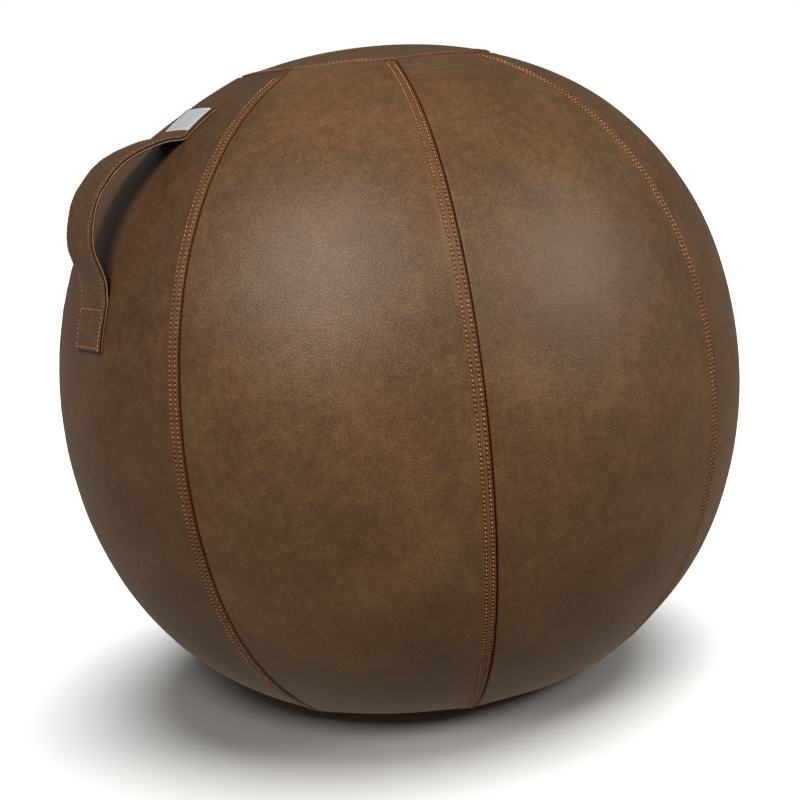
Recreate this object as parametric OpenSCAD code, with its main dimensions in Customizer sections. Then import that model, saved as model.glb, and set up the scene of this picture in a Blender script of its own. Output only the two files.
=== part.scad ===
// Sitting ball: an air bladder in a sewn cover of eight side panels, with a carry
// handle on one panel, a ring under the base that stops it rolling, and a zip.
// Millimetres. +Z is up, z = 0 is the floor, and the Z axis is the ball's axis.
// The handle is on the -X side.

/* [Ball] */
// Width of the cover across its widest part
ball_w = 650; // [550:10:750]
// Height of the base ring, from the floor to the base panel
ring_h = 12; // [12:1:16]
// How far the poles are drawn in, as a share of the radius
pole_draw = 0.009; // [0:0.001:0.012]
// How full the shoulders are, as a share of the radius
shoulder_fill = 0.0134; // [0:0.0001:0.014]
// How much fuller the lower half is than the upper half
low_fill = 0.0058; // [0:0.0001:0.006]

/* [Cover] */
// Number of side panels
panels = 8; // [8]
// Thickness of the cover leather
leather_t = 1.6; // [1.2:0.1:2]
// Angle from the top pole to the corners of the top panel
top_corner = 22; // [18:1:26]
// Distance from a seam to its first row of topstitching
row_near = 3.5; // [3:0.5:5]
// Distance from a seam to its second row of topstitching
row_far = 9; // [7:0.5:12]
// Width of a thread row
thread_w = 0.8; // [0.6:0.1:1]
// Height that a thread row stands on the leather
thread_h = 0.5; // [0.4:0.1:0.8]

/* [Bladder] */
// Wall thickness of the air bladder
bladder_t = 1; // [0.8:0.1:1.5]
// Space between cover and bladder, which the turned seam edges take up
lining_gap = 2.4; // [2:0.1:3]
// Radius of the plug in the inflation valve
plug_r = 4.5; // [4:0.1:5]

/* [Base ring] */
// Mean radius of the base ring
ring_r = 135; // [128:1:138]
// Width of the base ring
ring_w = 28; // [24:1:30]
// Thickness of the ring's sleeve
sleeve_t = 1.6; // [1.2:0.1:2]

/* [Zip] */
// Radius of the arc that the zip follows
zip_r = 168; // [165:1:169]
// Angle that the zip's rows of teeth cover
zip_sweep = 160; // [120:5:170]
// Direction of the middle of the zip, from +X
zip_mid = 45; // [0:5:90]
// Width of the slot in the base panel
zip_slot = 8; // [8:0.5:9]
// Width of each zip tape
tape_w = 11; // [9:1:11]
// Length of the slider along the zip
slider_len = 9; // [8:0.5:11]
// Length of the pull below its pivot
pull_len = 8; // [7:0.5:8.5]

/* [Handle] */
// Width of the strap
strap_w = 50; // [40:1:52]
// Thickness of one layer of the strap
strap_t = 2; // [1.5:0.1:2.5]
// Angle from the top pole to the top of the upper sewn end
end_top = 33.3; // [32:0.1:34]
// Angle from the top pole to the bottom of the lower sewn end
end_bottom = 75.4; // [74:0.1:77]
// How far the free loop's hinge planes stand in from its ends
hinge_in = 21; // [20:0.5:24]
// Length of the label along the strap
label_len = 27; // [20:1:27]
// Width of the label across the strap
label_w = 42; // [30:1:42]

/* [Hidden] */
$fn = 96;
ball_r = ball_w / 2;
pitch = 360 / panels;
slice_step = 5;
far = 400;
hair = 0.05;
slide_gap = 0.3;

// Angle from the top pole at which the cover turns into the flat base.
base_angle = 146;
// Slope of the top panel's straight edge, at the middle of a side.
top_edge = atan(tan(top_corner) * cos(pitch / 2));

// Radius from the centre to the cover at angle a from the top pole.
function cover_r(a) = ball_r * (1 - pole_draw * (1 + cos(2 * a))
    + shoulder_fill * (1 - cos(4 * a)) - low_fill * cos(a));
// Radius of a layer that stands h off the cover, where the layer is made of straight
// slices between the multiples of slice_step, so that all layers lie parallel.
function slice_r(a, h) = let (a0 = floor(a / slice_step) * slice_step, a1 = a0 + slice_step,
    r0 = cover_r(a0) + h, r1 = cover_r(a1) + h)
    r0 * r1 * sin(slice_step) / (r0 * sin(a - a0) + r1 * sin(a1 - a));
centre_z = ring_h - slice_r(base_angle, 0) * cos(base_angle);
// Point at angle a, standing h off the cover, in the plane of a meridian.
function off(a, h) = [slice_r(a, h) * sin(a), centre_z + slice_r(a, h) * cos(a)];
// Angles from a0 to a1: the ends, and the multiples of slice_step between them.
function steps(a0, a1) = concat([a0],
    [for (i = [floor(a0 / slice_step) + 1:ceil(a1 / slice_step) - 1]) i * slice_step], [a1]);
// Points along a layer, and the closed outline between two heights.
function line(a0, a1, h) = [for (a = steps(a0, a1)) off(a, h)];
function layer(a0, a1, h0, h1) = let (back = line(a0, a1, h0), n = len(back) - 1)
    concat(line(a0, a1, h1), [for (i = [0:n]) back[n - i]]);

base_r = off(base_angle, 0)[0];
base_z = off(base_angle, 0)[1];
base_in = off(base_angle, -leather_t);

// Bladder: the cover's shape drawn in, with a flat bottom above the base panel.
bladder_in = -leather_t - lining_gap;
bladder_z = base_in[1] + 4;

// Zip levels: the tapes lie on the base panel, the teeth straddle the tapes.
tape_z = base_in[1] + hair;
tape_t = 0.7;
teeth_h = 2.2;
teeth_w = 1.6;
teeth_gap = 1.4;
teeth_z = tape_z + tape_t / 2 - teeth_h / 2;
plate_t = 0.9;
plate_w = 6.8;
web_w = teeth_gap - 2 * slide_gap;
zip_start = zip_mid - zip_sweep / 2;
slider_turn = slider_len / zip_r * 180 / PI;
park = zip_start + slider_turn;
stop_turn = 0.6;
pivot_z = teeth_z - slide_gap - plate_t - 1.9;

// Handle: the middle of the strap's thickness passes through these points, each an
// angle from the top pole and a height off the cover. The first and last lie flat.
strap_lift = strap_t + hair;
knots = [
    [39.2, strap_lift], [40.5, strap_lift + 1], [43.6, 14.9], [48.6, 30.3], [52.5, 35.3],
    [56, 35.6], [61, 26.1], [64.6, 9], [67.6, strap_lift + 1], [68.9, strap_lift]
];
knot_steps = 6;
// Angles at which the two sewn ends stop lying on the cover.
rise_top = 40.3;
rise_bottom = 67.8;
hinge_top = off(41.2, 2);
hinge_low = off(67, 2);
hinge_run = hinge_low - hinge_top;
hinge_tilt = atan2(hinge_run[0], hinge_run[1]);

// A smooth curve through the knots, at u knots from the first.
function knot(i) = knots[max(0, min(len(knots) - 1, i))];
function blend(p, q, r, s, t) = (2 * q + (r - p) * t + (2 * p - 5 * q + 4 * r - s) * t * t
    + (3 * q - p - 3 * r + s) * t * t * t) / 2;
function on_curve(u) = let (i = floor(u), t = u - i)
    blend(knot(i - 1), knot(i), knot(i + 1), knot(i + 2), t);
path = [for (j = [0:(len(knots) - 1) * knot_steps]) let (k = on_curve(j / knot_steps))
    off(k[0], k[1])];
// Outward direction at each point of the path.
function unit(v) = v / norm(v);
function path_side(j) = let (last = len(path) - 1,
    d = unit(path[min(j + 1, last)] - path[max(j - 1, 0)])) [-d[1], d[0]];
// Outline of one layer of the strap, from h0 to h1 off the middle of its thickness.
function strap_outline(h0, h1) = let (last = len(path) - 1)
    concat([for (j = [0:last]) path[j] + path_side(j) * h1],
        [for (j = [0:last]) path[last - j] + path_side(last - j) * h0]);

stitch_in = 3;
// What is sewn on a strap end stands this far off it, clear of its flat slices.
end_rise = 2 * strap_t + 0.4;
label_top = 33.9;
label_turn = label_len / ball_r * 180 / PI;
label_t = 0.7;

// ---- shared shapes ----

// A body of revolution about Z, over an angle centred on direction mid.
module sweep(turn = 360, mid = 0) {
    rotate([0, 0, mid - turn / 2]) rotate_extrude(angle = turn) children();
}

// A box of revolution: radii r0 to r1, heights z0 to z1.
module ring_box(r0, r1, z0, z1, turn = 360, mid = 0) {
    sweep(turn, mid) translate([r0, z0]) square([r1 - r0, z1 - z0]);
}

// Half-space on the pole's side of a plane through the centre, side = -1, or beyond it.
module beyond_edge(edge, side) {
    translate([0, 0, centre_z]) rotate([0, edge, 0])
        translate([side < 0 ? -far : 0, -far, -far]) cube([far, 2 * far, 2 * far]);
}

// Part of the children that lies between y0 and y1 on the +X side.
module between(y0, y1) {
    intersection() {
        children();
        translate([0, y0, 0]) cube([far, y1 - y0, 2 * far]);
    }
}

// A patch of a layer over the handle's panel, between the angles a0 and a1.
module patch(a0, a1, h0, h1, y0, y1) {
    rotate([0, 0, 180]) between(y0, y1) sweep(pitch) polygon(layer(a0, a1, h0, h1));
}

// An extrusion across the handle of an outline in the plane of its meridian.
module across(y0, y1) {
    rotate([0, 0, 180]) translate([0, y1, 0]) rotate([90, 0, 0])
        linear_extrude(y1 - y0) children();
}

// Slab between the two hinge planes of the handle, drawn in by gap.
module hinge_slab(gap) {
    run = norm(hinge_run) - 2 * (hinge_in + gap);
    rotate([0, 0, 180]) translate([hinge_top[0], 0, hinge_top[1]])
        rotate([0, hinge_tilt, 0]) translate([-far / 2, -far / 2, hinge_in + gap])
        cube([far, far, run]);
}

// ---- cover ----

module top_panel() {
    color("#6b4f38") difference() {
        sweep() polygon(layer(0, top_corner + 4, -leather_t, 0));
        for (k = [0:panels - 1])
            rotate([0, 0, k * pitch]) beyond_edge(top_edge, 1);
    }
}

module side_panel(k) {
    color("#5f4632") rotate([0, 0, (k - 1) * pitch]) difference() {
        sweep(pitch) polygon(layer(top_edge - 1, base_angle, -leather_t, 0));
        beyond_edge(top_edge, -1);
    }
}

module base_panel() {
    color("#4d3827") difference() {
        sweep() polygon([[0, base_z], [base_r, base_z], base_in, [0, base_in[1]]]);
        ring_box(zip_r - zip_slot / 2, zip_r + zip_slot / 2, base_z - 1, base_in[1] + 1,
            zip_sweep, zip_mid);
    }
}

// Two rows of topstitching beside each side seam.
module side_seam_thread() {
    color("#b57a45") for (k = [0:panels - 1], d = [row_near, row_far])
        rotate([0, 0, (k + 0.5) * pitch]) difference() {
            between(-d - thread_w / 2, -d + thread_w / 2)
                sweep(pitch) polygon(layer(top_corner - 1, base_angle, hair, thread_h));
            rotate([0, 0, -pitch / 2]) beyond_edge(top_edge + 0.6, -1);
        }
}

// One row of topstitching inside each edge of the top panel.
module top_seam_thread() {
    inset = row_near / ball_r * 180 / PI;
    row = thread_w / ball_r * 180 / PI;
    color("#b57a45") for (k = [0:panels - 1])
        rotate([0, 0, k * pitch]) difference() {
            sweep(pitch - 2) polygon(layer(top_edge - 3, top_corner, hair, thread_h));
            beyond_edge(top_edge - inset - row, -1);
            beyond_edge(top_edge - inset, 1);
        }
}

// One row of stitches that joins the base panel to the side panels.
module base_seam_thread() {
    color("#b57a45") ring_box(base_r - row_near - thread_w, base_r - row_near,
        base_z - thread_h, base_z - hair);
}

// ---- bladder ----

module bladder_outline(inset) {
    intersection() {
        polygon(concat([[0, bladder_z]], line(0, base_angle, bladder_in - inset)));
        translate([0, bladder_z + inset]) square([far, 2 * far]);
    }
}

module bladder() {
    color("#9aa0a4") difference() {
        sweep() difference() {
            bladder_outline(0);
            bladder_outline(bladder_t);
        }
        translate([0, 0, bladder_z - 1]) cylinder(r = plug_r + 4, h = bladder_t + 2);
    }
}

// Valve seat: a moulded ring that closes the hole in the bladder.
module valve_seat() {
    color("#8c9296") union() {
        ring_box(plug_r + hair, plug_r + 3.9, bladder_z - 0.6, bladder_z + 9);
        ring_box(plug_r + hair, plug_r + 9, bladder_z + bladder_t + hair, bladder_z + 3);
    }
}

// Valve plug: a stem in the seat, under a flat head.
module valve_plug() {
    color("white") union() {
        translate([0, 0, bladder_z - 0.7]) cylinder(r = plug_r, h = 9);
        translate([0, 0, bladder_z - 2.4]) cylinder(r = plug_r + 3.5, h = 1.7);
    }
}

// ---- base ring ----

module ring_section(inset) {
    round_r = ring_h / 3;
    half = ring_w / 2 - inset;
    top = ring_h - inset - hair;
    translate([ring_r, 0]) union() {
        translate([-half, round_r]) square([2 * half, top - round_r]);
        translate([-half + round_r - inset, inset])
            square([2 * (half - round_r + inset), top - inset]);
        for (s = [-1, 1])
            translate([s * (ring_w / 2 - round_r), round_r]) circle(r = round_r - inset);
    }
}

module ring_sleeve() {
    color("#3a2b20") sweep() difference() {
        ring_section(0);
        ring_section(sleeve_t);
    }
}

module ring_core() {
    color("#c9c2b0") sweep() ring_section(sleeve_t + hair);
}

// Two rows of stitches that hold the ring's sleeve under the base panel.
module ring_thread() {
    color("#b57a45") for (r = [ring_r - ring_w / 2 - 3, ring_r + ring_w / 2 + 2])
        ring_box(r, r + thread_w, base_z - thread_h, base_z - hair);
}

// ---- zip ----

module zip_tape(side) {
    edge = zip_r + side * (teeth_gap / 2 + teeth_w / 2);
    color("#2b2522") ring_box(min(edge, edge + side * tape_w), max(edge, edge + side * tape_w),
        tape_z, tape_z + tape_t, zip_sweep + 4, zip_mid);
}

module zip_teeth(side) {
    near = zip_r + side * teeth_gap / 2;
    away = near + side * teeth_w;
    color("#1e1a18") difference() {
        ring_box(min(near, away), max(near, away), teeth_z, teeth_z + teeth_h,
            zip_sweep - 2, zip_mid);
        zip_tape_space(side);
    }
}

// The tape's own thickness, which the teeth grip.
module zip_tape_space(side) {
    edge = zip_r + side * (teeth_gap / 2 + teeth_w / 2);
    ring_box(min(edge, edge + side * tape_w), max(edge, edge + side * tape_w),
        tape_z - hair, tape_z + tape_t + hair, zip_sweep + 4, zip_mid);
}

// A metal stop across both rows, just past the end of the teeth.
module zip_stop(side) {
    reach = teeth_gap / 2 + teeth_w;
    turn = zip_sweep / 2 - 1 + stop_turn;
    color("#b9b4aa") ring_box(zip_r - reach, zip_r + reach, tape_z + tape_t + hair,
        tape_z + tape_t + 1, 2 * stop_turn, zip_mid + side * turn);
}

module zip_slider() {
    below = teeth_z - slide_gap;
    above = teeth_z + teeth_h + slide_gap;
    lug = 2.2 / zip_r * 180 / PI;
    color("#8f8a80") difference() {
        union() {
            ring_box(zip_r - plate_w / 2, zip_r + plate_w / 2, below - plate_t, below,
                slider_turn, park);
            ring_box(zip_r - plate_w / 2, zip_r + plate_w / 2, above, above + plate_t,
                slider_turn, park);
            ring_box(zip_r - web_w / 2, zip_r + web_w / 2, below - hair, above + hair,
                slider_turn / 2, park);
            ring_box(zip_r - 1.2, zip_r + 1.2, pivot_z - 1.6, below - plate_t + hair,
                2 * lug, park);
        }
        rotate([0, 0, park]) translate([zip_r - 5, 0, pivot_z])
            rotate([0, 90, 0]) cylinder(r = 0.9, h = 10);
    }
}

// Pull: a small frame that hangs from a pin through the slider's lug.
module zip_pull() {
    color("#8f8a80") rotate([0, 0, park]) translate([zip_r, 0, pivot_z]) union() {
        translate([-2.9, 0, 0]) rotate([0, 90, 0]) cylinder(r = 0.6, h = 5.8);
        for (s = [-1, 1])
            translate([s * 2.3 - 0.6, -0.7, -pull_len / 2]) cube([1.2, 1.4, pull_len / 2 + 0.6]);
        difference() {
            translate([-2.9, -0.7, -pull_len]) cube([5.8, 1.4, pull_len - 3]);
            translate([0, -2, -pull_len + 2.2]) rotate([-90, 0, 0]) cylinder(r = 1, h = 4);
        }
    }
}

// ---- handle ----

// The free loop's outer layer of leather.
module handle_strap() {
    color("#5f4632") intersection() {
        across(-strap_w / 2, strap_w / 2) polygon(strap_outline(0, strap_t));
        hinge_slab(slide_gap / 2);
    }
}

// The free loop's inner layer, against the hand.
module handle_lining() {
    color("#54402f") intersection() {
        across(-strap_w / 2, strap_w / 2) polygon(strap_outline(-strap_t, 0));
        hinge_slab(slide_gap / 2);
    }
}

module handle_loop_thread() {
    color("#b57a45") intersection() {
        for (s = [-1, 1]) {
            y = s * (strap_w / 2 - stitch_in);
            across(y - thread_w / 2, y + thread_w / 2)
                polygon(strap_outline(strap_t + hair, strap_t + thread_h));
        }
        hinge_slab(slide_gap / 2);
    }
}

// A sewn end: the part that lies on the cover, with the stretch that rises from it.
module handle_end(a0, a1, keep) {
    color("#5f4632") union() {
        patch(a0, a1, hair, hair + 2 * strap_t, -strap_w / 2, strap_w / 2);
        difference() {
            across(-strap_w / 2, strap_w / 2) polygon(strap_outline(-strap_t, strap_t));
            hinge_slab(-slide_gap / 2);
            rotate([0, 0, 180]) translate([0, 0, centre_z]) rotate([0, 55, 0])
                translate([keep > 0 ? 0 : -far, -far, -far]) cube([far, 2 * far, 2 * far]);
            sweep() polygon(concat([[0, centre_z]], line(0, base_angle, strap_t)));
        }
    }
}

module handle_end_upper() {
    handle_end(end_top, rise_top, 1);
}

module handle_end_lower() {
    handle_end(rise_bottom, end_bottom, -1);
}

// Box of stitches round each sewn end.
module handle_end_thread() {
    half = strap_w / 2 - stitch_in;
    row = thread_w / ball_r * 180 / PI;
    color("#b57a45") for (box = [[end_top + 0.4, 38.7], [69.6, end_bottom - 0.5]]) {
        for (s = [-1, 1])
            patch(box[0], box[1], end_rise, end_rise + thread_h,
                s * half - thread_w / 2, s * half + thread_w / 2);
        for (a = box)
            patch(a, a + row, end_rise, end_rise + thread_h, -half, half);
    }
}

// A patch inside the cover behind a sewn end.
module handle_patch(a0, a1) {
    half = strap_w / 2 + 6;
    color("#332a24") patch(a0 - 1.2, a1 + 1.2, bladder_in + 0.4, -leather_t - hair, -half, half);
}

module handle_patch_upper() {
    handle_patch(end_top, rise_top);
}

module handle_patch_lower() {
    handle_patch(rise_bottom, end_bottom);
}

module handle_label() {
    color("#c7cbd2") patch(label_top, label_top + label_turn, end_rise, end_rise + label_t,
        -label_w / 2, label_w / 2);
}

top_panel();
for (k = [1:panels])
    side_panel(k);
base_panel();
side_seam_thread();
top_seam_thread();
base_seam_thread();
bladder();
valve_seat();
valve_plug();
ring_sleeve();
ring_core();
ring_thread();
zip_tape(-1);  // zip_tape_inner
zip_tape(1);  // zip_tape_outer
zip_teeth(-1);  // zip_teeth_inner
zip_teeth(1);  // zip_teeth_outer
zip_stop(-1);  // zip_stop_closed
zip_stop(1);  // zip_stop_open
zip_slider();
zip_pull();
handle_strap();
handle_lining();
handle_loop_thread();
handle_end_upper();
handle_end_lower();
handle_end_thread();
handle_patch_upper();
handle_patch_lower();
handle_label();
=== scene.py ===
import math
import bpy
import numpy as np
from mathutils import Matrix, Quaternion, Vector

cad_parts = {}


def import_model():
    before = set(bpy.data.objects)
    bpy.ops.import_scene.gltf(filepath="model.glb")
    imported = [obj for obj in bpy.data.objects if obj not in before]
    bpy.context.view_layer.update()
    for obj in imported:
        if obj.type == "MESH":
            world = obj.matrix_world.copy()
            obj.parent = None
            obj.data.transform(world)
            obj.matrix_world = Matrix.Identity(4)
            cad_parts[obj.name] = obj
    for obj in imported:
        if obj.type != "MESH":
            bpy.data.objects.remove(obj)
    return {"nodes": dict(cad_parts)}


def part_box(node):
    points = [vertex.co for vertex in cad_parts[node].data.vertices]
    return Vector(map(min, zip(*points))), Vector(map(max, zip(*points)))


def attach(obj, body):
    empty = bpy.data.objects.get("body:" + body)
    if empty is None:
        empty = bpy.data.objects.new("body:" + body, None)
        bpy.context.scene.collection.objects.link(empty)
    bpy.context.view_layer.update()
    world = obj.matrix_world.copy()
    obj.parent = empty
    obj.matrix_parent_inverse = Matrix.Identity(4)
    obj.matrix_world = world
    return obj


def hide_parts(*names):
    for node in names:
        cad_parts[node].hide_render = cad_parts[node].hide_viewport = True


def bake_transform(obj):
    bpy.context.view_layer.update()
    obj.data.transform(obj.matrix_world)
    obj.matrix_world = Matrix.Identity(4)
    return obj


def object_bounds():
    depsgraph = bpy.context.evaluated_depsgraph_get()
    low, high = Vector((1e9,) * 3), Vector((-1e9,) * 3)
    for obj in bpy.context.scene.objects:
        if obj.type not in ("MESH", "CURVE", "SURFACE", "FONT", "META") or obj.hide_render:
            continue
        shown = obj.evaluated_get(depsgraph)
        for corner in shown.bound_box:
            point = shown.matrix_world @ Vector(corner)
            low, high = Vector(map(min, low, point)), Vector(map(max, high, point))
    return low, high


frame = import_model()
cad_low, cad_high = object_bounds()

# ---- sizes, in metres, from the frame and the CAD's own formula ----
MM = 0.001
BALL_R = (cad_high.x - cad_low.x) / 2
POLE_DRAW, SHOULDER_FILL, LOW_FILL = 0.009, 0.0134, 0.0058
PANELS = 8
HALF_PITCH = math.pi / PANELS
BASE_ANGLE = math.radians(146)
TOP_CORNER = math.radians(22)
TOP_EDGE = math.atan(math.tan(TOP_CORNER) * math.cos(HALF_PITCH))
RING_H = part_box("ring_sleeve")[1].z
ROW_NEAR, ROW_FAR = 3.5 * MM, 9 * MM
STITCH = 3.85 * MM
ROW_STEP = STITCH / 3
RING_W = 28 * MM
ZIP_R = 168 * MM
ZIP_MID, ZIP_SWEEP = 45, 160


# ---- the cover's surface ----

def cover_r(a):
    """Radius from the centre to the cover, at angle a from the top pole."""
    return BALL_R * (1 - POLE_DRAW * (1 + np.cos(2 * a)) + SHOULDER_FILL * (1 - np.cos(4 * a))
                     - LOW_FILL * np.cos(a))


CENTRE_Z = RING_H - cover_r(BASE_ANGLE) * math.cos(BASE_ANGLE)


def meridian(a, h):
    """(radius, height) of a point h off the cover at angle a, measured along the normal."""
    step = 1e-4
    r = cover_r(a)
    slope = (cover_r(a + step) - cover_r(a - step)) / (2 * step)
    out_r = r * np.sin(a) - slope * np.cos(a)
    out_z = r * np.cos(a) + slope * np.sin(a)
    length = np.sqrt(out_r ** 2 + out_z ** 2)
    return r * np.sin(a) + h * out_r / length, CENTRE_Z + r * np.cos(a) + h * out_z / length


# Behind the strap its pull draws the cover out below and in above, round two directions:
# angle from the top pole, azimuth, rise and reach, the last as an angle in radians.
PULLS = ((math.radians(52), math.radians(158), 3.8 * MM, 0.17),
         (math.radians(34), math.radians(150), -2.6 * MM, 0.10))


def on_cover(a, azimuth, h=0.0):
    """Points h off the cover, as an array whose last axis is x, y, z."""
    a = np.asarray(a, float)
    pull = 0.0
    for angle, side, rise, reach in PULLS:
        toward = (np.cos(a) * math.cos(angle)
                  + np.sin(a) * math.sin(angle) * np.cos(azimuth - side))
        pull = pull + rise * np.exp((toward - 1) * 2 / reach ** 2)
    r, z = meridian(a, h + pull)
    return np.stack(np.broadcast_arrays(r * np.cos(azimuth), r * np.sin(azimuth), z), -1)


# Length along a meridian from the top pole, as a table that is read both ways.
ANGLES = np.linspace(0, math.pi, 4001)
_r, _z = meridian(ANGLES, 0.0)
LENGTHS = np.concatenate([[0], np.cumsum(np.hypot(np.diff(_r), np.diff(_z)))])


def length_at(a):
    return np.interp(a, ANGLES, LENGTHS)


def angle_at(length):
    return np.interp(length, LENGTHS, ANGLES)


# ---- mesh helpers ----

def make_mesh(name, points, faces):
    mesh = bpy.data.meshes.new(name)
    mesh.from_pydata(np.asarray(points, float).reshape(-1, 3).tolist(), [], faces)
    mesh.validate()
    mesh.polygons.foreach_set("use_smooth", [True] * len(mesh.polygons))
    obj = bpy.data.objects.new(name, mesh)
    bpy.context.scene.collection.objects.link(obj)
    return obj


def grid_faces(rows, cols, wrap_rows=False, wrap_cols=False):
    """Four-sided faces between the rows and columns of a grid of points."""
    i, j = np.meshgrid(np.arange(rows if wrap_rows else rows - 1),
                       np.arange(cols if wrap_cols else cols - 1), indexing="ij")
    i2, j2 = (i + 1) % rows, (j + 1) % cols
    quads = np.stack([i * cols + j, i2 * cols + j, i2 * cols + j2, i * cols + j2], -1)
    return quads.reshape(-1, 4).tolist()


def grid(name, points, wrap_rows=False, wrap_cols=False):
    """A mesh from an array whose axes are rows, columns and x, y, z."""
    rows, cols = points.shape[:2]
    return make_mesh(name, points, grid_faces(rows, cols, wrap_rows, wrap_cols))


def bell(x, centre, width):
    """1 at the centre, falling away smoothly on both sides."""
    return np.exp(-((x - centre) / width) ** 2)


def ease(x):
    """0 below 0, 1 above 1, and smooth between."""
    x = np.clip(x, 0, 1)
    return x * x * (3 - 2 * x)


def waves(points, wavelengths, seed, count=14):
    """Smooth seeded unevenness, about -1 to 1, from plane waves of the given lengths."""
    local = np.random.default_rng(seed)
    total = np.zeros(points.shape[:-1])
    for _ in range(count):
        direction = local.normal(size=3)
        direction /= np.linalg.norm(direction)
        length = local.uniform(*wavelengths)
        total += np.sin(points @ direction * 2 * math.pi / length + local.uniform(0, 2 * math.pi))
    return total / math.sqrt(count)


# ---- how a seam shapes the leather beside it ----

def holes(along):
    """1 at each needle hole of a seam, 0 halfway between two."""
    return 0.5 + 0.5 * np.cos(2 * math.pi * along / STITCH)


def folded_side(d, along):
    """Height beside a seam on the side that the edges fold to; d is the distance from it."""
    hole = holes(along)
    puff = 0.75 * ease((d / MM - 0.4) / 2.0) * (1 - ease((d / MM - 8.8) / 5.5))
    fold = 0.4 * bell(d / MM, 1.8, 0.9) * (1 - 0.35 * hole)
    rows = 0.0
    for row in (ROW_NEAR, ROW_FAR):
        rows = rows - 0.4 * bell(d, row, 0.9 * MM) - 0.45 * hole * bell(d, row, 0.75 * MM)
    return MM * (puff + fold + rows)


def groove(d, along):
    """Depth of the seam itself, where the two edges turn in."""
    hole = holes(along)
    return -MM * (1.3 * bell(d / MM, 0, 0.75) + 0.7 * hole * bell(d / MM, 0.3, 0.8))


def seam_tint_and_shade(d, along, rows):
    """Seam tint and painted shade beside a seam: a warm band of the leather's own colour along the
    rows, darker red along the rows, and painted shade darkest in its groove and at the needle holes.
    """
    hole = holes(along)
    tint_and_shade = bell(d / MM, 0, 1.3) * (0.7 + 0.3 * hole)
    for row in rows:
        tint_and_shade = np.maximum(tint_and_shade, 0.3 * (1 - ease((d - row) / (2.5 * MM))))
    for row in rows:
        tint_and_shade = tint_and_shade + bell(d, row, 0.95 * MM) * (0.25 + 0.6 * hole)
    return np.clip(tint_and_shade, 0, 1)


def keep_tint_and_shade(obj, tint_and_shade):
    """Stores the seam tint and painted shade on the mesh, where the leather's nodes read it."""
    obj.data.attributes.new("seam", "FLOAT", "POINT").data.foreach_set("value", tint_and_shade.ravel())
    return obj


def slack(points, d, seed):
    """Soft unevenness of the leather: long swells, and small puckers close to a seam."""
    swell = 0.28 * MM * waves(points, (0.07, 0.19), seed)
    pucker = 0.13 * MM * waves(points, (0.011, 0.03), seed + 50, 20) * np.exp(-d / (14 * MM))
    return swell + pucker


# ---- cover panels ----

# Distances from a seam at which the mesh has a column: on the side that the edges fold to,
# and on the plain side. TURNED and LIP are how deep and how far the edges turn in.
FOLDED = np.array([0, 0.4, 0.9, 1.4, 2, 2.6, 3.1, 3.5, 3.9, 4.5, 5.4, 6.7, 7.8, 8.4, 9, 9.6,
                   10.4, 11.8, 13.5, 16, 20, 26]) * MM
PLAIN = np.array([0, 0.4, 0.9, 1.6, 2.6, 4, 6, 9, 13, 19, 28]) * MM
BETWEEN = 13
TURNED, LIP = 3.6 * MM, 1.2 * MM


def across_panel(a):
    """Offsets from the panel's middle line, from its left seam to its right seam."""
    half = (cover_r(a) * np.sin(a) * HALF_PITCH)[..., None]
    left = -half + PLAIN
    right = half - FOLDED[::-1]
    share = np.linspace(0, 1, BETWEEN + 2)[1:-1]
    inner = left[..., -1:] + (right[..., :1] - left[..., -1:]) * share
    return np.concatenate([left, inner, right], -1)


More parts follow.
